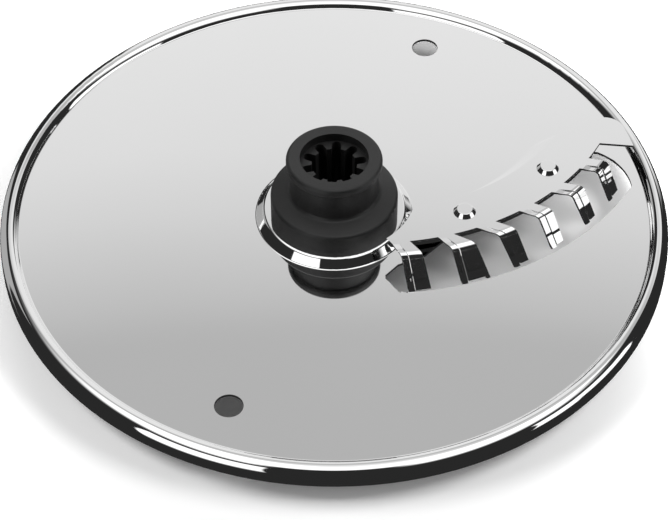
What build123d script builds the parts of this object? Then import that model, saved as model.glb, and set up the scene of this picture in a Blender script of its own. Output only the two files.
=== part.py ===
from build123d import *
import os
from math import atan2, cos, degrees, radians, sin, tan

os.makedirs("parts", exist_ok=True)

# Disc: one stamped sheet, seen from its top face
deck_z = 10.5
sheet_t = 0.8
disc_r = 92.7
rim_foot_inset = 5.05
rim_crown_inset = 4.07
rim_rise = 1.7
rim_foot_fillet = 0.4
rim_crown_share = 0.955
rim_round = 2.65
skirt_drop = 4.0
pad_margin = 2.1
pad_slope_run = 2.05
pad_rise = 2.6
pad_top_fillet = 1.1
pad_foot_fillet = 0.6
rim_foot_r = disc_r - rim_foot_inset
rim_crown_r = disc_r - rim_crown_inset
rim_slope_angle = atan2(rim_rise, rim_crown_r - rim_foot_r)
rim_slope_room = rim_rise / sin(rim_slope_angle) - rim_foot_fillet * tan(rim_slope_angle / 2)
rim_crown_room = disc_r - rim_round - rim_crown_r
rim_crown_fillet = rim_crown_share * min(rim_crown_room, rim_slope_room) / tan(rim_slope_angle / 2)

# Two round holes in the deck
hole_r = 3.83
hole_circle_r = 0.8058 * disc_r
hole_angle = 68.7

# Common centre of the cutter plate, the strip and the back of the slot
pattern_x = 0.1135 * disc_r
pattern_y = 0.5770 * disc_r

# Raised cutter plate, bent from one sheet
plate_rise = 8.0
plate_t = 0.7
plate_back_r = 0.6462 * disc_r
plate_root_r = 0.7832 * disc_r
plate_hub_gap = 0.65
plate_rim_gap = 1.25
plate_back_angle = -31.0
plate_back_heading = 30.0
plate_back_run = 14.5
plate_back_fillet = 8.0
plate_corner_fillet = 5.5
plate_front_angle = -27.6
plate_front_heading = -6.1
plate_side_heading = -51.5
wall_angle = 50.0
foot_width = 5.0
plate_outer_r = rim_foot_r - plate_rim_gap

# Curved slot in the deck
slot_near_x = 0.1326 * disc_r
slot_near_y = 0.5680 * disc_r
slot_near_r = 0.8947 * disc_r
slot_near_start_angle = -86.5
slot_near_end_angle = -30.3
slot_far_inset = 6.3
slot_far_start_angle = -72.0
slot_far_end_angle = -29.0
slot_tip = (0.1478 * disc_r, -0.2568 * disc_r)
slot_hub_side = [(0.2611 * disc_r, -0.1801 * disc_r), (0.1877 * disc_r, -0.2115 * disc_r)]
slot_end_mid = (0.8878 * disc_r, 0.1845 * disc_r)
slot_end_far = (0.8047 * disc_r, 0.2686 * disc_r)
slot_near_fillet = 4.0
slot_end_fillet = 2.0
slot_tip_fillet = 0.6
slot_far_r = plate_root_r - slot_far_inset

# Cutting teeth, bent down from the front of the plate; the left part of each is ground thinner
tooth_left_angles = [-86.2, -76.0, -67.1, -56.4, -47.1, -37.1]
tooth_right_angles = [-82.2, -72.5, -62.6, -52.4, -43.0, -33.2]
tooth_left_headings = [-58.0, -45.0, -20.5, -20.5, -8.0, -10.0]
tooth_right_headings = [-52.0, -28.0, -25.0, -24.5, -13.5, -11.5]
tooth_step_angle = 1.4
tooth_bend_reach = 4.9
tooth_lean_angle = 19.0
tooth_bend = 2.2
tooth_reach = 3.4
tooth_shoulder = 0.8
tooth_corner = 1.2
grind_depth = 0.3
grind_start = 0.8
grind_run = 1.5
pattern_start_angle = -95.0
tooth_clear = 20.0
tooth_count = len(tooth_left_angles)
bend_r = plate_root_r + tooth_bend_reach
tooth_drop = plate_rise + tooth_reach

# Strip under the front of the plate
strip_t = 1.2
strip_back_inset = 1.6
strip_hub_gap = 0.6
strip_end_angle = -31.5
strip_back_r = plate_back_r + strip_back_inset

# Rivets through the plate and the strip
rivet_inset = 0.5
rivet_angles = [-67.5, -41.8]
rivet_r = 1.5
rivet_head_r = 3.1
rivet_head_h = 1.2
rivet_head_taper_angle = 36.9
rivet_head_fillet = 0.3
rivet_tail_r = 2.4
rivet_tail_h = 0.7
rivet_gap = 0.05
rivet_circle_r = (plate_back_r + plate_root_r) / 2 - rivet_inset

# Hub moulded round the hole of the disc
barrel_r = 17.6
barrel_rise = 8.1
barrel_fillet = 0.9
hub_seat_depth = 2.8
hub_seat_gap = 0.03
shoulder_rise = 1.6
neck_inset = 5.24
neck_fillet = 1.2
collar_lip = 0.84
collar_h = 3.0
collar_lip_rise = 0.4
collar_fillet = 0.9
collar_rise = 21.5
recess_wall = 3.78
recess_depth = 2.6
boss_chamfer = 0.8
notch_margin = 0.37
notch_depth = 2.85
notch_width = 2.6
notch_count = 10
notch_angle = 85.0
pilot_margin = 0.3
pilot_depth = 3.5
hub_seat_r = barrel_r - hub_seat_depth
neck_r = barrel_r - neck_inset
collar_r = neck_r + collar_lip
recess_r = collar_r - recess_wall
notch_r = recess_r - notch_margin
socket_r = notch_r - notch_depth
pilot_r = notch_r + pilot_margin

# Sizes that join the disc, the cutter and the hub
pad_top_r = barrel_r + pad_margin
pad_foot_r = pad_top_r + pad_slope_run
plate_inner_r = pad_foot_r + plate_hub_gap
strip_inner_r = plate_inner_r + strip_hub_gap
plate_z = deck_z + plate_rise
strip_z = plate_z - plate_t
pattern_axis = Axis((pattern_x, pattern_y, 0), (0, 0, 1))


def around(radius, angle):
    """Point at a radius and an angle from the common centre of the cutter."""
    return (pattern_x + radius * cos(radians(angle)), pattern_y + radius * sin(radians(angle)))


def ahead(point, heading, distance):
    """Point that lies a distance away from another one, along a heading."""
    return (point[0] + distance * cos(radians(heading)), point[1] + distance * sin(radians(heading)))


def along_near(angle):
    """Point on the near edge of the slot."""
    return (slot_near_x + slot_near_r * cos(radians(angle)), slot_near_y + slot_near_r * sin(radians(angle)))


# Base disc with its pad, rim, holes and slot
with BuildPart() as disc:
    with BuildSketch(Plane.XZ) as disc_section:
        with BuildLine() as disc_line:
            Polyline(
                (hub_seat_r, deck_z + pad_rise),
                (pad_top_r, deck_z + pad_rise),
                (pad_foot_r, deck_z),
                (rim_foot_r, deck_z),
                (rim_crown_r, deck_z + rim_rise),
                (disc_r, deck_z + rim_rise),
                (disc_r, deck_z - skirt_drop),
            )
            fillet(disc_line.vertices().sort_by_distance((pad_top_r, deck_z + pad_rise))[0], pad_top_fillet)
            fillet(disc_line.vertices().sort_by_distance((pad_foot_r, deck_z))[0], pad_foot_fillet)
            fillet(disc_line.vertices().sort_by_distance((rim_foot_r, deck_z))[0], rim_foot_fillet)
            fillet(disc_line.vertices().sort_by_distance((rim_crown_r, deck_z + rim_rise))[0], rim_crown_fillet)
            fillet(disc_line.vertices().sort_by_distance((disc_r, deck_z + rim_rise))[0], rim_round)
            offset(amount=sheet_t, side=Side.RIGHT)
        make_face()
    revolve(axis=Axis.Z)
    with BuildSketch(Plane.XY) as holes:
        with PolarLocations(hole_circle_r, 2, hole_angle):
            Circle(hole_r)
    extrude(amount=deck_z + pad_rise, mode=Mode.SUBTRACT)
    with BuildSketch(Plane.XY) as slot:
        with BuildLine():
            Line(slot_tip, along_near(slot_near_start_angle))
            ThreePointArc(
                along_near(slot_near_start_angle),
                along_near((slot_near_start_angle + slot_near_end_angle) / 2),
                along_near(slot_near_end_angle),
            )
            ThreePointArc(along_near(slot_near_end_angle), slot_end_mid, slot_end_far)
            Line(slot_end_far, around(slot_far_r, slot_far_end_angle))
            ThreePointArc(
                around(slot_far_r, slot_far_end_angle),
                around(slot_far_r, (slot_far_start_angle + slot_far_end_angle) / 2),
                around(slot_far_r, slot_far_start_angle),
            )
            Polyline(around(slot_far_r, slot_far_start_angle), *slot_hub_side, slot_tip)
        make_face()
        fillet(slot.vertices().sort_by_distance(along_near(slot_near_start_angle))[0], slot_near_fillet)
        fillet(slot.vertices().sort_by_distance(along_near(slot_near_end_angle))[0], slot_end_fillet)
        fillet(slot.vertices().sort_by_distance(slot_end_far)[0], slot_end_fillet)
        fillet(slot.vertices().sort_by_distance(slot_tip)[0], slot_tip_fillet)
    extrude(amount=deck_z + pad_rise, mode=Mode.SUBTRACT)
disc.part.label = "disc"
export_step(disc.part, "parts/disc.step")

# Cutter plate: top, sloped back wall, foot on the deck and bent tabs
back_corner = around(plate_back_r, plate_back_angle)
back_end = ahead(back_corner, plate_back_heading, plate_back_run)
outer_far = ahead(back_corner, plate_back_heading, 2 * disc_r)
front_corner = around(plate_root_r, plate_front_angle)
outer_front = ahead(front_corner, plate_front_heading, 2 * disc_r)
wall_run = plate_rise / tan(radians(wall_angle))
wall_inner_top = plate_t / tan(radians(wall_angle)) - plate_t / sin(radians(wall_angle))
wall_inner_foot = (plate_rise - plate_t) / tan(radians(wall_angle)) - plate_t / sin(radians(wall_angle))
lean_out = tan(radians(tooth_lean_angle))
bend_shift = tan(radians((90 - tooth_lean_angle) / 2))
face_out = cos(radians(tooth_lean_angle))
face_up = sin(radians(tooth_lean_angle))
tip_z = plate_z - tooth_drop
tip_r = bend_r + tooth_drop * lean_out
ground_r = bend_r - grind_depth * bend_shift
ground_z = plate_z - grind_depth
rivet_points = [around(rivet_circle_r, angle) for angle in rivet_angles]
tooth_start = around(plate_root_r, tooth_left_angles[0])
plate_side = [
    tooth_start,
    ahead(tooth_start, tooth_left_headings[0], tooth_clear),
    ahead(tooth_start, plate_side_heading - 90, tooth_clear),
    ahead(tooth_start, plate_side_heading + 180, tooth_clear),
]
bend_plane = Plane(
    (pattern_x, pattern_y, 0),
    x_dir=(cos(radians(pattern_start_angle)), sin(radians(pattern_start_angle)), 0),
    z_dir=(sin(radians(pattern_start_angle)), -cos(radians(pattern_start_angle)), 0),
)
wall_plane = Plane(
    (*around(plate_back_r, pattern_start_angle), 0),
    x_dir=(-cos(radians(pattern_start_angle)), -sin(radians(pattern_start_angle)), 0),
    z_dir=(-sin(radians(pattern_start_angle)), cos(radians(pattern_start_angle)), 0),
)

with BuildPart() as cutter_plate:
    with BuildSketch(Plane.XY.offset(plate_z - plate_t)) as plate_top:
        with BuildLine():
            ThreePointArc(
                around(plate_back_r, pattern_start_angle),
                around(plate_back_r, (pattern_start_angle + plate_back_angle) / 2),
                back_corner,
            )
            Polyline(back_corner, outer_far, outer_front, front_corner)
            ThreePointArc(
                front_corner,
                around(plate_root_r, (pattern_start_angle + plate_front_angle) / 2),
                around(plate_root_r, pattern_start_angle),
            )
            Line(around(plate_root_r, pattern_start_angle), around(plate_back_r, pattern_start_angle))
        make_face()
        fillet(plate_top.vertices().sort_by_distance(back_corner)[0], plate_back_fillet)
        Circle(plate_outer_r, mode=Mode.INTERSECT)
        fillet(plate_top.vertices().sort_by_distance((disc_r, disc_r / 2))[0], plate_corner_fillet)
    extrude(amount=plate_t)
    with BuildLine() as back_path:
        ThreePointArc(
            around(plate_back_r, pattern_start_angle),
            around(plate_back_r, (pattern_start_angle + plate_back_angle) / 2),
            back_corner,
        )
        Line(back_corner, back_end)
        fillet(back_path.vertices().sort_by_distance(back_corner)[0], plate_back_fillet)
    with BuildSketch(wall_plane) as wall_section:
        with BuildLine():
            Polyline(
                (-plate_t, plate_z),
                (0, plate_z),
                (wall_run, deck_z),
                (wall_run - foot_width, deck_z),
                (wall_run - foot_width, deck_z + plate_t),
                (wall_inner_foot, deck_z + plate_t),
                (wall_inner_top, plate_z - plate_t),
                (-plate_t, plate_z - plate_t),
                close=True,
            )
        make_face()
    sweep(path=back_path.line)
    with BuildSketch(bend_plane) as tooth_section:
        with BuildLine():
            Polyline(
                (plate_root_r - plate_t, plate_z),
                (bend_r, plate_z),
                (tip_r, tip_z),
                (tip_r - plate_t * face_out, tip_z - plate_t * face_up),
                (bend_r - plate_t * bend_shift, strip_z),
                (plate_root_r - plate_t, strip_z),
                close=True,
            )
        make_face()
        fillet(tooth_section.vertices().sort_by_distance((bend_r, plate_z))[0], tooth_bend)
        fillet(
            tooth_section.vertices().sort_by_distance((bend_r - plate_t * bend_shift, strip_z))[0],
            tooth_bend - plate_t,
        )
    revolve(axis=pattern_axis, revolution_arc=plate_front_angle - pattern_start_angle)
    next_angles = tooth_left_angles[1:] + [plate_front_angle]
    next_headings = tooth_left_headings[1:] + [plate_front_heading]
    for k in range(tooth_count):
        right_angle = tooth_right_angles[k]
        right_heading = tooth_right_headings[k]
        left_angle = next_angles[k]
        left_heading = next_headings[k]
        with BuildSketch(Plane.XY) as gap:
            with BuildLine():
                Polyline(
                    around(plate_root_r, right_angle),
                    ahead(around(plate_root_r, right_angle), right_heading, tooth_clear),
                    ahead(around(plate_root_r, left_angle), left_heading, tooth_clear),
                    around(plate_root_r, left_angle),
                )
                ThreePointArc(
                    around(plate_root_r, left_angle),
                    around(plate_root_r, (left_angle + right_angle) / 2),
                    around(plate_root_r, right_angle),
                )
            make_face()
        extrude(amount=2 * plate_z, mode=Mode.SUBTRACT)
    with BuildSketch(Plane.XY) as side_cut:
        with BuildLine():
            Polyline(*plate_side, close=True)
        make_face()
    extrude(amount=2 * plate_z, mode=Mode.SUBTRACT)
    for left_angle, heading in zip(tooth_left_angles, tooth_left_headings):
        step = around(plate_root_r, left_angle + tooth_step_angle)
        step_end = ahead(step, heading, tooth_clear)
        with BuildSketch(Plane.XY) as shoulder:
            with BuildLine():
                Polyline(
                    step,
                    step_end,
                    ahead(step_end, heading + 90, tooth_bend_reach),
                    ahead(step, heading + 90, tooth_bend_reach),
                    close=True,
                )
            make_face()
        extrude(amount=tip_z + tooth_shoulder, mode=Mode.SUBTRACT)
        reach = plate_root_r * cos(radians(left_angle - heading))
        run = (reach**2 + tip_r**2 - plate_root_r**2) ** 0.5 - reach
        tip = ahead(around(plate_root_r, left_angle), heading, run)
        tip_angle = degrees(atan2(tip[1] - pattern_y, tip[0] - pattern_x) + tooth_corner / tip_r)
        on_side = ahead(tip, heading + 180, tooth_corner)
        on_end = around(tip_r, tip_angle)
        bulge = ((on_side[0] + on_end[0] + 2 * tip[0]) / 4, (on_side[1] + on_end[1] + 2 * tip[1]) / 4)
        with BuildSketch(Plane.XY) as corner:
            with BuildLine():
                Polyline(
                    on_side,
                    ahead(tip, heading, tooth_corner),
                    around(tip_r + tooth_corner, tip_angle),
                    on_end,
                    bulge,
                    close=True,
                )
            make_face()
        extrude(amount=2 * plate_z, mode=Mode.SUBTRACT)
    with BuildPart(mode=Mode.PRIVATE) as ground:
        with BuildSketch(bend_plane) as ground_section:
            with BuildLine():
                Polyline(
                    (plate_root_r + grind_start, plate_z),
                    (plate_root_r + grind_start + grind_run, ground_z),
                    (ground_r, ground_z),
                    (ground_r + plate_z * lean_out, ground_z - plate_z),
                    (ground_r + plate_z, ground_z - plate_z),
                    (ground_r + plate_z, 2 * plate_z),
                    (plate_root_r + grind_start, 2 * plate_z),
                    close=True,
                )
            make_face()
            fillet(ground_section.vertices().sort_by_distance((ground_r, ground_z))[0], tooth_bend - grind_depth)
        revolve(axis=pattern_axis, revolution_arc=plate_front_angle - pattern_start_angle)
        with BuildSketch(Plane.XY) as ground_strips:
            for left_angle, heading in zip(tooth_left_angles, tooth_left_headings):
                step = around(plate_root_r, left_angle + tooth_step_angle)
                step_end = ahead(step, heading, tooth_clear)
                with BuildLine():
                    Polyline(
                        step,
                        step_end,
                        ahead(step_end, heading - 90, tooth_bend_reach),
                        ahead(step, heading - 90, tooth_bend_reach),
                        close=True,
                    )
                make_face()
        extrude(amount=2 * plate_z, mode=Mode.INTERSECT)
    add(ground.part, mode=Mode.SUBTRACT)
    with BuildSketch(Plane.XY) as plate_span:
        Circle(plate_outer_r)
        Circle(plate_inner_r, mode=Mode.SUBTRACT)
    extrude(amount=2 * plate_z, mode=Mode.INTERSECT)
    with BuildSketch(Plane.XY.offset(strip_z)) as plate_rivet_holes:
        with Locations(*rivet_points):
            Circle(rivet_r + rivet_gap)
    extrude(amount=plate_t, mode=Mode.SUBTRACT)
cutter_plate.part.label = "cutter_plate"
export_step(cutter_plate.part, "parts/cutter_plate.step")

# Strip under the front of the plate
with BuildPart() as backing_strip:
    with BuildSketch(Plane.XY.offset(strip_z)) as strip:
        with BuildLine():
            ThreePointArc(
                around(strip_back_r, pattern_start_angle),
                around(strip_back_r, (pattern_start_angle + strip_end_angle) / 2),
                around(strip_back_r, strip_end_angle),
            )
            Line(around(strip_back_r, strip_end_angle), around(plate_root_r, strip_end_angle))
            ThreePointArc(
                around(plate_root_r, strip_end_angle),
                around(plate_root_r, (pattern_start_angle + strip_end_angle) / 2),
                around(plate_root_r, pattern_start_angle),
            )
            Line(around(plate_root_r, pattern_start_angle), around(strip_back_r, pattern_start_angle))
        make_face()
        with BuildLine():
            Polyline(*plate_side, close=True)
        make_face(mode=Mode.SUBTRACT)
        Circle(strip_inner_r, mode=Mode.SUBTRACT)
        with Locations(*rivet_points):
            Circle(rivet_r + rivet_gap, mode=Mode.SUBTRACT)
    extrude(amount=-strip_t)
backing_strip.part.label = "backing_strip"
export_step(backing_strip.part, "parts/backing_strip.step")

# Two rivets through the plate and the strip
with BuildPart() as rivets:
    with BuildSketch(Plane.XY.offset(plate_z)) as rivet_heads:
        with Locations(*rivet_points):
            Circle(rivet_head_r)
    extrude(amount=rivet_head_h, taper=rivet_head_taper_angle)
    fillet(rivets.faces().group_by(Axis.Z)[-1].edges(), rivet_head_fillet)
    with BuildSketch(Plane.XY.offset(plate_z)) as rivet_shanks:
        with Locations(*rivet_points):
            Circle(rivet_r)
    extrude(amount=-plate_t - strip_t)
    with BuildSketch(Plane.XY.offset(strip_z - strip_t)) as rivet_tails:
        with Locations(*rivet_points):
            Circle(rivet_tail_r)
    extrude(amount=-rivet_tail_h)
rivets.part.label = "rivets"
export_step(rivets.part, "parts/rivets.step")

# Hub with its barrel, neck, collar and toothed drive socket
pad_z = deck_z + pad_rise
barrel_z = deck_z + barrel_rise
shoulder_z = barrel_z + shoulder_rise
collar_z = deck_z + collar_rise
collar_lip_z = collar_z - collar_h + collar_lip_rise
with BuildPart() as hub:
    with BuildSketch(Plane.XZ) as hub_section:
        with BuildLine():
            Polyline(
                (0, 0),
                (barrel_r - boss_chamfer, 0),
                (barrel_r, boss_chamfer),
                (barrel_r, pad_z - sheet_t),
                (hub_seat_r - hub_seat_gap, pad_z - sheet_t),
                (hub_seat_r - hub_seat_gap, pad_z),
                (barrel_r, pad_z),
                (barrel_r, barrel_z),
                (neck_r, shoulder_z),
                (neck_r, collar_z - collar_h),
                (collar_r, collar_lip_z),
                (collar_r, collar_z),
                (0, collar_z),
                close=True,
            )
        make_face()
        fillet(hub_section.vertices().sort_by_distance((barrel_r, barrel_z))[0], barrel_fillet)
        fillet(hub_section.vertices().sort_by_distance((neck_r, shoulder_z))[0], neck_fillet)
        fillet(hub_section.vertices().sort_by_distance((collar_r, collar_lip_z))[0], collar_fillet)
        fillet(hub_section.vertices().sort_by_distance((collar_r, collar_z))[0], collar_fillet)
    revolve(axis=Axis.Z)
    with BuildSketch(Plane.XY) as socket:
        Circle(socket_r)
        with PolarLocations(notch_r - notch_width / 2, notch_count, notch_angle):
            Circle(notch_width / 2)
        with PolarLocations((notch_r - notch_width / 2) / 2, notch_count, notch_angle):
            Rectangle(notch_r - notch_width / 2, notch_width)
    extrude(amount=collar_z, mode=Mode.SUBTRACT)
    with BuildSketch(Plane.XY) as pilot:
        Circle(pilot_r)
    extrude(amount=pilot_depth, mode=Mode.SUBTRACT)
    with BuildSketch(Plane.XY.offset(collar_z)) as recess:
        Circle(recess_r)
    extrude(amount=-recess_depth, mode=Mode.SUBTRACT)
hub.part.label = "hub"
export_step(hub.part, "parts/hub.step")
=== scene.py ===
import math

import bpy
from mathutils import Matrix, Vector

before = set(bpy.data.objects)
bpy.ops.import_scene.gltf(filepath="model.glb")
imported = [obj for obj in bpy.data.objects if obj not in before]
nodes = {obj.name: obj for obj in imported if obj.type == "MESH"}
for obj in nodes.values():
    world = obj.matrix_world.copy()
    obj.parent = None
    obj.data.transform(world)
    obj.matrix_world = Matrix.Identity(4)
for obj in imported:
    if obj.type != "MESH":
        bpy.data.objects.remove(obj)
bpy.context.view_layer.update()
scene = bpy.context.scene
scene.view_settings.view_transform = "Standard"

# Section of the disc, with the sizes of the solids in metres
DECK_Z = 0.0105
SHEET = 0.0008
DISC_R = 0.0927
PAD_TOP_R = 0.0197
PAD_FOOT_R = 0.02175
PAD_RISE = 0.0026
PAD_TOP_FILLET = 0.0011
PAD_FOOT_FILLET = 0.0006
RIM_FOOT_R = 0.08765
RIM_CROWN_R = 0.08863
RIM_RISE = 0.0017
RIM_FOOT_FILLET = 0.0004
RIM_CROWN_FILLET = 0.002347
RIM_ROUND = 0.00265
RIM_ROUND_R = DISC_R - RIM_ROUND
RIM_ROUND_Z = DECK_Z + RIM_RISE - RIM_ROUND
RIM_ROUND_INSIDE = RIM_ROUND - SHEET / 2
# Least cosine to the turned normal for a face of the rim, and least upward part for a face inside it
SKIN_FACING = 0.5
TOP_FACING = 0.4

# Noise of each material as scale and detail, and what it turns into as stops of a ramp
STEEL_GRAIN = (900.0, 4.0)
STEEL_CLOUD = (14.0, 2.0)
STEEL_ROUGHNESS = [(0.35, 0.02), (0.7, 0.045)]
STEEL_TONE = [(0.3, 0.885), (0.7, 0.9)]
STEEL_EDGE = 0.00004
STEEL_EDGE_SAMPLES = 6
PLASTIC_GRAIN = (2600.0, 3.0)
PLASTIC_CLOUD = (60.0, 2.0)
PLASTIC_ROUGHNESS = [(0.3, 0.42), (0.7, 0.52)]
PLASTIC_TONE = [(0.3, 0.012), (0.7, 0.016)]
PLASTIC_BUMP = 0.06
PLASTIC_BUMP_DEPTH = 0.0002

# Floor: its glow is lower under the disc than around it, a painted shade on the floor under the disc
FLOOR_SIZE = 6.0
FLOOR_TONE = 0.92
PAINTED_SHADE_RADII = (0.084, 0.092)
GLOW_AND_PAINTED_SHADE_LEVELS = [(0.0, 0.04), (1.0, 0.24)]

# Studio that the steel mirrors; turns go from the back to the right and rises go up, in degrees
DARK = 0.0235
FILL = 0.08
OVERHEAD_TURN = 130
OVERHEAD_RISE = 84
OVERHEAD_LEVEL = 1.3
OVERHEAD_STOPS = [
    (0.616, DARK / OVERHEAD_LEVEL),
    (0.669, 0.07),
    (0.707, 0.25),
    (0.743, 0.53),
    (0.788, 0.9),
    (0.84, 1.0),
]
FRONT_TURNS = (150, 160)
FRONT_RISES = (60, 54)
RIGHT_TURNS = (38, 80, 3, 8)
RIGHT_RISES = (54, 48)
BACKDROP_STOPS = [
    (0.0, 0.88),
    (0.643, 0.875),
    (0.692, 0.80),
    (0.711, 0.725),
    (0.7206, 0.67),
    (0.738, 0.575),
    (0.748, 0.505),
    (0.79, 0.495),
    (0.83, 0.62),
    (0.90, 0.68),
    (0.94, 0.85),
    (0.97, 1.0),
]
BACKDROP_TURNS = (-16, 40, 1.5, 4)
BACKDROP_FOOT_RISES = (-6, -2)
BACKDROP_EDGE = (0.455, 0.425)
BACKDROP_EDGE_RISES = (22, 16)
# Side panels: turn from and to with the softness of each end, the same for the rise, and the strength
PANELS = [
    ((-65, -37, 1, 1), (-28, 37, 6, 1), 0.435),
    ((-160, -122, 0.5, 0.5), (-24, 31, 7, 0.5), 1.3),
    ((83, 104.5, 0.5, 0.5), (-13, 21, 1, 1), 1.3),
    ((104, 120.5, 0.5, 0.5), (-20, 20, 1, 1), 1.3),
]

# Lamps: name, turn, rise, width, height and watts
LAMP_DISTANCE = 1.2
SOFTBOXES = [
    ("back_softbox", 5, 32, 1.2, 0.4, 8.5),
    ("left_softbox", -88, 48, 0.6, 0.3, 7.5),
    ("right_softbox", 88, 48, 0.6, 0.3, 7.5),
]
LOW_SIDE_SIZE = (0.12, 0.016)
LOW_SIDE_WATTS = 0.1
LOW_SIDE_PLACE = (0.128, 0.02, 0.010)

# Camera at the photograph's angle
CAMERA_SENSOR = 36.0
CAMERA_LENS = 121.45
CAMERA_SHIFT = 0.0004
CAMERA_BACK = 0.4413
CAMERA_OVER_DECK = 0.4480
CAMERA_LOOK_DOWN = 46.62


def add(tree, kind, **values):
    """New node with its properties set."""
    node = tree.nodes.new(kind)
    for key, value in values.items():
        setattr(node, key, value)
    return node


def feed(tree, value, socket):
    """Links an output to a socket, or sets a plain value on it."""
    if isinstance(value, bpy.types.NodeSocket):
        tree.links.new(value, socket)
    else:
        socket.default_value = value


def maths(tree, operation, a, b=None, clamp=False):
    node = add(tree, "ShaderNodeMath", operation=operation, use_clamp=clamp)
    feed(tree, a, node.inputs[0])
    if b is not None:
        feed(tree, b, node.inputs[1])
    return node.outputs[0]


def product(tree, a, b):
    return maths(tree, "MULTIPLY", a, b)


def vector(tree, operation, a, b=None):
    node = add(tree, "ShaderNodeVectorMath", operation=operation)
    feed(tree, a, node.inputs[0])
    if b is not None:
        feed(tree, b, node.inputs[1])
    return node


def split(tree, value):
    """The three parts of a vector."""
    node = add(tree, "ShaderNodeSeparateXYZ")
    tree.links.new(value, node.inputs[0])
    return node.outputs


def mix(tree, factor, a, b):
    node = add(tree, "ShaderNodeMix", data_type="FLOAT")
    tree.links.new(factor, node.inputs["Factor"])
    tree.links.new(a, node.inputs["A"])
    tree.links.new(b, node.inputs["B"])
    return node.outputs["Result"]


def mix_shaders(tree, factor, a, b):
    node = add(tree, "ShaderNodeMixShader")
    tree.links.new(factor, node.inputs[0])
    tree.links.new(a, node.inputs[1])
    tree.links.new(b, node.inputs[2])
    return node.outputs[0]


def ramp(tree, value, stops):
    """Grey level from a value, through stops of a place and a level."""
    node = add(tree, "ShaderNodeValToRGB")
    elements = node.color_ramp.elements
    while len(elements) < len(stops):
        elements.new(0.5)
    for element, (place, level) in zip(elements, stops):
        element.position = place
        element.color = (level, level, level, 1)
    tree.links.new(value, node.inputs["Fac"])
    return node.outputs["Color"]


def mask(tree, value, limit):
    return maths(tree, "GREATER_THAN", value, limit)


def stretch(tree, value, start, end):
    """Goes from 0 at the start to 1 at the end."""
    node = add(tree, "ShaderNodeMapRange")
    tree.links.new(value, node.inputs["Value"])
    node.inputs["From Min"].default_value = start
    node.inputs["From Max"].default_value = end
    return node.outputs["Result"]


def window(tree, value, low, high, soft_low, soft_high):
    """1 between two limits and 0 outside them, with soft ends."""
    return product(
        tree,
        stretch(tree, value, low - soft_low, low + soft_low),
        stretch(tree, value, high + soft_high, high - soft_high),
    )


def noise(tree, coords, scale, detail):
    node = add(tree, "ShaderNodeTexNoise")
    node.inputs["Scale"].default_value = scale
    node.inputs["Detail"].default_value = detail
    tree.links.new(coords, node.inputs["Vector"])
    return node.outputs["Fac"]


def background(tree, color):
    node = add(tree, "ShaderNodeBackground")
    feed(tree, color, node.inputs["Color"])
    return node.outputs[0]


def new_material(name):
    mat = bpy.data.materials.new(name)
    mat.use_nodes = True
    return mat, mat.node_tree, mat.node_tree.nodes["Principled BSDF"]


def direction(turn_angle, rise_angle):
    """Unit vector that is turned from the back to the right, and raised."""
    flat = math.cos(math.radians(rise_angle))
    return Vector((
        flat * math.sin(math.radians(turn_angle)),
        flat * math.cos(math.radians(turn_angle)),
        math.sin(math.radians(rise_angle)),
    ))


def slope(tree, radius, inner_r, outer_r, rise, inner_fillet, outer_fillet):
    """Sine of the tilt on a turned slope; along the fillet at each end it changes evenly with the radius."""
    angle = math.atan2(rise, outer_r - inner_r)
    inner_reach = inner_fillet * math.tan(angle / 2)
    outer_reach = outer_fillet * math.tan(angle / 2)
    starts = stretch(tree, radius, inner_r - inner_reach, inner_r + inner_reach * math.cos(angle))
    ends = stretch(tree, radius, outer_r - outer_reach * math.cos(angle), outer_r + outer_reach)
    return product(tree, maths(tree, "SUBTRACT", starts, ends), math.sin(angle))


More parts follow.
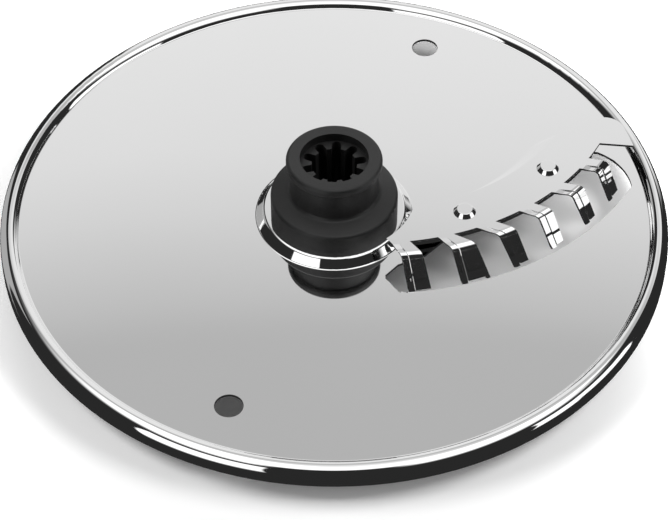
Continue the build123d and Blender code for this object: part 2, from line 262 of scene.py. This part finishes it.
def turned_normal(tree, position):
    """Smooth normal of the turned top face: level deck, sloped pad and rim foot, rolled rim and skirt."""
    flat = vector(tree, "MULTIPLY", position, (1, 1, 0)).outputs[0]
    radius = vector(tree, "LENGTH", flat).outputs["Value"]
    outward = vector(tree, "NORMALIZE", flat).outputs[0]
    height = split(tree, position)[2]
    mesh_normal = add(tree, "ShaderNodeNewGeometry").outputs["Normal"]
    pad = slope(tree, radius, PAD_TOP_R, PAD_FOOT_R, PAD_RISE, PAD_TOP_FILLET, PAD_FOOT_FILLET)
    rim = slope(tree, radius, RIM_FOOT_R, RIM_CROWN_R, RIM_RISE, RIM_FOOT_FILLET, RIM_CROWN_FILLET)
    tilt = maths(tree, "SUBTRACT", pad, rim)
    upright = maths(tree, "SQRT", maths(tree, "SUBTRACT", 1.0, product(tree, tilt, tilt)))
    out_part = maths(tree, "SUBTRACT", radius, RIM_ROUND_R)
    up_part = maths(tree, "MAXIMUM", maths(tree, "SUBTRACT", height, RIM_ROUND_Z), 0.0)
    rolled = mask(tree, out_part, 0.0)
    across = vector(tree, "SCALE", outward)
    tree.links.new(mix(tree, rolled, tilt, out_part), across.inputs["Scale"])
    along = add(tree, "ShaderNodeCombineXYZ")
    tree.links.new(mix(tree, rolled, upright, up_part), along.inputs["Z"])
    both = vector(tree, "ADD", across.outputs[0], along.outputs[0]).outputs[0]
    exact = vector(tree, "NORMALIZE", both).outputs[0]
    # Only the outer skin of the rim and the upward faces inside it are turned that way
    squares = maths(tree, "ADD", product(tree, out_part, out_part), product(tree, up_part, up_part))
    outside = mask(tree, maths(tree, "SQRT", squares), RIM_ROUND_INSIDE)
    facing = vector(tree, "DOT_PRODUCT", exact, mesh_normal).outputs["Value"]
    skin = product(tree, product(tree, rolled, outside), mask(tree, facing, SKIN_FACING))
    level_face = mask(tree, split(tree, mesh_normal)[2], TOP_FACING)
    top = product(tree, maths(tree, "SUBTRACT", 1.0, rolled), level_face)
    # The vector sockets of a Mix node share their names with the others, so they go by number
    blend = add(tree, "ShaderNodeMix", data_type="VECTOR")
    tree.links.new(maths(tree, "ADD", skin, top, clamp=True), blend.inputs[0])
    tree.links.new(mesh_normal, blend.inputs[4])
    tree.links.new(exact, blend.inputs[5])
    return blend.outputs[1]


def steel_material(name, turned):
    """Mirror-polished steel with a faint grain; the turned disc has its own normal, the rest soft edges."""
    mat, tree, bsdf = new_material(name)
    bsdf.inputs["Metallic"].default_value = 1.0
    coords = add(tree, "ShaderNodeTexCoord").outputs["Object"]
    grain = noise(tree, coords, *STEEL_GRAIN)
    cloud = noise(tree, coords, *STEEL_CLOUD)
    tree.links.new(ramp(tree, grain, STEEL_ROUGHNESS), bsdf.inputs["Roughness"])
    tree.links.new(ramp(tree, cloud, STEEL_TONE), bsdf.inputs["Base Color"])
    if turned:
        normal = turned_normal(tree, coords)
    else:
        edges = add(tree, "ShaderNodeBevel", samples=STEEL_EDGE_SAMPLES)
        edges.inputs["Radius"].default_value = STEEL_EDGE
        normal = edges.outputs["Normal"]
    tree.links.new(normal, bsdf.inputs["Normal"])
    return mat


def plastic_material():
    """Satin black moulded plastic with a fine grain."""
    mat, tree, bsdf = new_material("satin_black_plastic")
    coords = add(tree, "ShaderNodeTexCoord").outputs["Object"]
    grain = noise(tree, coords, *PLASTIC_GRAIN)
    cloud = noise(tree, coords, *PLASTIC_CLOUD)
    tree.links.new(ramp(tree, cloud, PLASTIC_TONE), bsdf.inputs["Base Color"])
    tree.links.new(ramp(tree, grain, PLASTIC_ROUGHNESS), bsdf.inputs["Roughness"])
    bump = add(tree, "ShaderNodeBump")
    bump.inputs["Strength"].default_value = PLASTIC_BUMP
    bump.inputs["Distance"].default_value = PLASTIC_BUMP_DEPTH
    tree.links.new(grain, bump.inputs["Height"])
    tree.links.new(bump.outputs["Normal"], bsdf.inputs["Normal"])
    return mat


def floor_material():
    """White floor that keeps the shadow and glows a little where it is seen; the glow is lower under the
    disc, which paints shade there.
    """
    mat, tree, bsdf = new_material("floor_white")
    path = add(tree, "ShaderNodeLightPath").outputs
    mirrored = maths(tree, "ADD", path["Is Glossy Ray"], path["Is Transmission Ray"])
    seen = maths(tree, "ADD", path["Is Camera Ray"], mirrored, clamp=True)
    ground = add(tree, "ShaderNodeTexCoord").outputs["Object"]
    reach = vector(tree, "LENGTH", ground).outputs["Value"]
    # Less glow under the disc than around it: painted shade on the floor under the disc
    glow_with_painted_shade = ramp(tree, stretch(tree, reach, *PAINTED_SHADE_RADII), GLOW_AND_PAINTED_SHADE_LEVELS)
    tree.links.new(product(tree, seen, glow_with_painted_shade), bsdf.inputs["Emission Strength"])
    bsdf.inputs["Emission Color"].default_value = (1, 1, 1, 1)
    bsdf.inputs["Base Color"].default_value = (FLOOR_TONE, FLOOR_TONE, FLOOR_TONE, 1)
    bsdf.inputs["Roughness"].default_value = 1.0
    bsdf.inputs["Specular IOR Level"].default_value = 0.0
    return mat


def mirrored_studio(tree):
    """Brightness that the steel mirrors in each direction: a softbox, a backdrop and side panels."""
    toward = add(tree, "ShaderNodeTexCoord").outputs["Generated"]
    dx, dy, dz = split(tree, toward)
    turn = product(tree, maths(tree, "ARCTAN2", dx, dy), math.degrees(1))
    rise = product(tree, maths(tree, "ARCSINE", dz), math.degrees(1))
    # Overhead softbox: its middle leans a little to the right and the front
    middle = direction(OVERHEAD_TURN, OVERHEAD_RISE)
    overhead = vector(tree, "DOT_PRODUCT", toward, middle).outputs["Value"]
    level = product(tree, ramp(tree, overhead, OVERHEAD_STOPS), OVERHEAD_LEVEL)
    # It ends higher up toward the front, and at the right of the backdrop
    front = stretch(tree, maths(tree, "ABSOLUTE", turn), *FRONT_TURNS)
    front = product(tree, front, stretch(tree, rise, *FRONT_RISES))
    right = product(tree, window(tree, turn, *RIGHT_TURNS), stretch(tree, rise, *RIGHT_RISES))
    kept = maths(tree, "SUBTRACT", 1.0, maths(tree, "MAXIMUM", front, right))
    level = maths(tree, "MAXIMUM", product(tree, level, kept), DARK)
    # Backdrop behind the part: pale low down, greyest about 50 degrees up, narrower above its foot
    behind = product(tree, window(tree, turn, *BACKDROP_TURNS), stretch(tree, rise, *BACKDROP_FOOT_RISES))
    edge = stretch(tree, dx, *BACKDROP_EDGE)
    edge = maths(tree, "ADD", edge, stretch(tree, rise, *BACKDROP_EDGE_RISES), clamp=True)
    level = mix(tree, product(tree, behind, edge), level, ramp(tree, dz, BACKDROP_STOPS))
    for turns, rises, strength in PANELS:
        inside = product(tree, window(tree, turn, *turns), window(tree, rise, *rises))
        level = maths(tree, "MAXIMUM", level, product(tree, inside, strength))
    return level


def area_lamp(name, width, height, watts):
    """Rectangular lamp that lights the scene but isn't mirrored."""
    lamp = bpy.data.lights.new(name, "AREA")
    lamp.shape = "RECTANGLE"
    lamp.size = width
    lamp.size_y = height
    lamp.energy = watts
    lamp_object = bpy.data.objects.new(name, lamp)
    scene.collection.objects.link(lamp_object)
    lamp_object.visible_glossy = False
    return lamp_object


def assign(node, mat):
    mesh = nodes[node].data
    mesh.materials.clear()
    mesh.materials.append(mat)


assign("disc", steel_material("turned_steel", turned=True))
steel = steel_material("polished_steel", turned=False)
for name in ("cutter_plate", "backing_strip", "rivets"):
    assign(name, steel)
assign("hub", plastic_material())

bpy.ops.mesh.primitive_plane_add(size=FLOOR_SIZE, location=(0, 0, 0))
floor = bpy.context.object
floor.name = "floor"
floor.data.materials.append(floor_material())
floor.visible_glossy = False

# World: the studio for what mirrors, white for what is seen past the floor, a weak fill for the rest
world = bpy.data.worlds.new("studio")
scene.world = world
world.use_nodes = True
world_tree = world.node_tree
world_tree.nodes.clear()
studio = background(world_tree, mirrored_studio(world_tree))
fill = background(world_tree, (FILL, FILL, FILL, 1))
white = background(world_tree, (1, 1, 1, 1))
rays = add(world_tree, "ShaderNodeLightPath").outputs
open_view = maths(world_tree, "ADD", rays["Is Camera Ray"], rays["Is Transmission Ray"], clamp=True)
plain = mix_shaders(world_tree, open_view, fill, white)
surface = mix_shaders(world_tree, rays["Is Glossy Ray"], plain, studio)
output = add(world_tree, "ShaderNodeOutputWorld")
world_tree.links.new(surface, output.inputs["Surface"])

for name, turn_angle, rise_angle, width, height, watts in SOFTBOXES:
    softbox = area_lamp(name, width, height, watts)
    toward_lamp = direction(turn_angle, rise_angle)
    softbox.location = LAMP_DISTANCE * toward_lamp
    softbox.rotation_euler = (-toward_lamp).to_track_quat("-Z", "Y").to_euler()
# Small lamp at the right, low over the floor, facing the rim
low_side = area_lamp("low_side", *LOW_SIDE_SIZE, LOW_SIDE_WATTS)
low_side.location = LOW_SIDE_PLACE
low_side.rotation_euler = (math.radians(90), 0, math.radians(90))
low_side.visible_camera = False

camera = bpy.data.cameras.new("camera")
camera.sensor_fit = "HORIZONTAL"
camera.sensor_width = CAMERA_SENSOR
camera.lens = CAMERA_LENS
camera.shift_x = CAMERA_SHIFT
camera_object = bpy.data.objects.new("camera", camera)
scene.collection.objects.link(camera_object)
camera_object.location = (0, -CAMERA_BACK, CAMERA_OVER_DECK + DECK_Z)
camera_object.rotation_euler = (math.radians(90 - CAMERA_LOOK_DOWN), 0, 0)
scene.camera = camera_object
